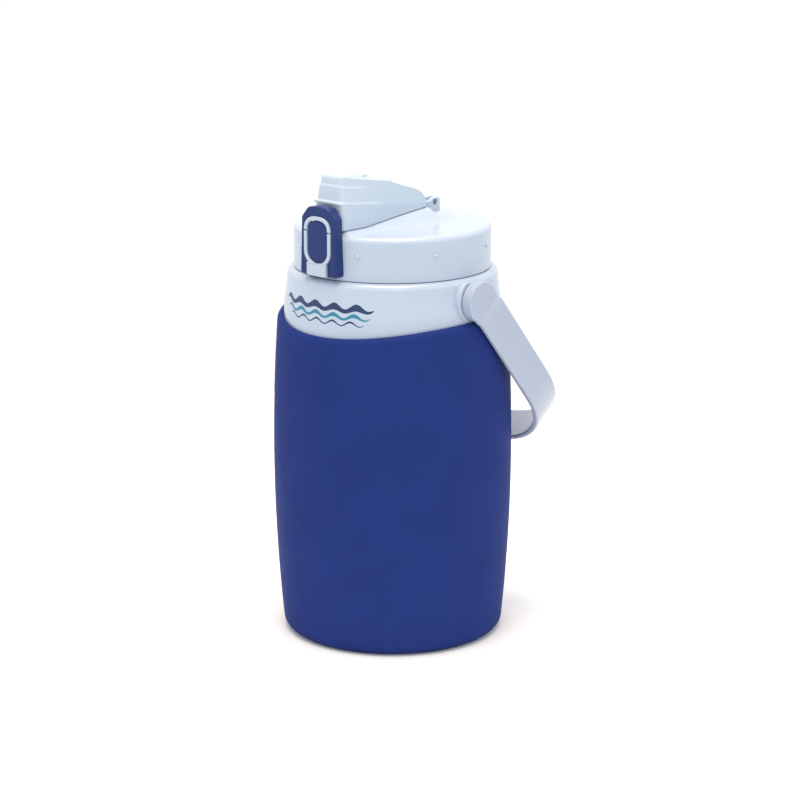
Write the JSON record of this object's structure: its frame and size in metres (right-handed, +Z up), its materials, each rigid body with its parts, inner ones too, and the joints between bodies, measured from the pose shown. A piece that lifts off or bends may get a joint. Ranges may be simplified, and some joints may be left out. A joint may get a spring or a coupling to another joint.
{
  "type": "insulated water jug",
  "caption": "Insulated barrel water jug with a strap handle, a screw lid, a flip-up spout cover and a locking push-button latch.",
  "frame": {"origin": "centre of the base, on the surface the jug stands on", "axes": "+Z up along the jug's axis, -Y towards the latch and spout, X along the handle's pivots"},
  "size_m": [0.158, 0.1758, 0.303],
  "materials": {
    "shell_blue": "matte",
    "shell_white": "gloss",
    "latch_blue": "satin",
    "liner_white": "satin",
    "foam": "matte",
    "silicone": "matte",
    "rubber_dark": "matte",
    "steel": "satin"
  },
  "bodies": {
    "jug_body": {"outer_shell": "shell_blue", "base_plug": "rubber_dark", "foam_insulation": "foam", "inner_liner": "liner_white", "collar": "shell_white", "neck_seal_ring": "rubber_dark", "handle_stud_left": "steel", "handle_stud_right": "steel"},
    "handle": {"handle": "shell_white"},
    "lid_gasket": {"lid_gasket": "silicone"},
    "lid": {"lid_shell": "shell_white", "lid_inner_cup": "liner_white", "lid_foam": "foam", "spout_tube": "liner_white", "spout_o_ring": "rubber_dark", "vent_valve": "silicone", "cover_hinge_pin": "steel", "cover_spring": "steel", "latch_bezel": "latch_blue", "lock_ring_pin": "steel", "button_pin": "steel", "button_spring": "steel"},
    "spout_cover": {"spout_cover": "shell_white", "spout_seal": "silicone"},
    "release_button": {"release_button": "latch_blue"},
    "lock_ring": {"lock_ring": "shell_white"}
  },
  "joints": [
    {"name": "handle_swing", "type": "hinge", "parent": "jug_body", "child": "handle", "pos_m": [0, 0, 0.225], "axis": [1, 0, 0], "range_deg": [0, 280]},
    {"name": "lid_lift", "type": "slide", "parent": "jug_body", "child": "lid_gasket", "axis": [0, 0, 1], "range_m": [0, 0.0201]},
    {"name": "lid_turn", "type": "hinge", "parent": "lid_gasket", "child": "lid", "pos_m": [0, 0, 0.25], "axis": [0, 0, 1], "range_deg": [0, 720]},
    {"name": "cover_open", "type": "hinge", "parent": "lid", "child": "spout_cover", "pos_m": [0, 0.028, 0.2765], "axis": [-1, 0, 0], "range_deg": [0, 110]},
    {"name": "button_press", "type": "hinge", "parent": "lid", "child": "release_button", "pos_m": [0, -0.0655, 0.262], "axis": [1, 0, 0], "range_deg": [0, 8], "stiffness_Nm_per_rad": 0.05, "deforming": ["button_spring"]},
    {"name": "ring_unlock", "type": "hinge", "parent": "lid", "child": "lock_ring", "pos_m": [0, -0.0669, 0.2445], "axis": [1, 0, 0], "range_deg": [0, 110]}
  ],
  "couplings": [
    {"joint": "lid_lift", "follows": "lid_turn", "m_per_rad": 0.0015915}
  ]
}
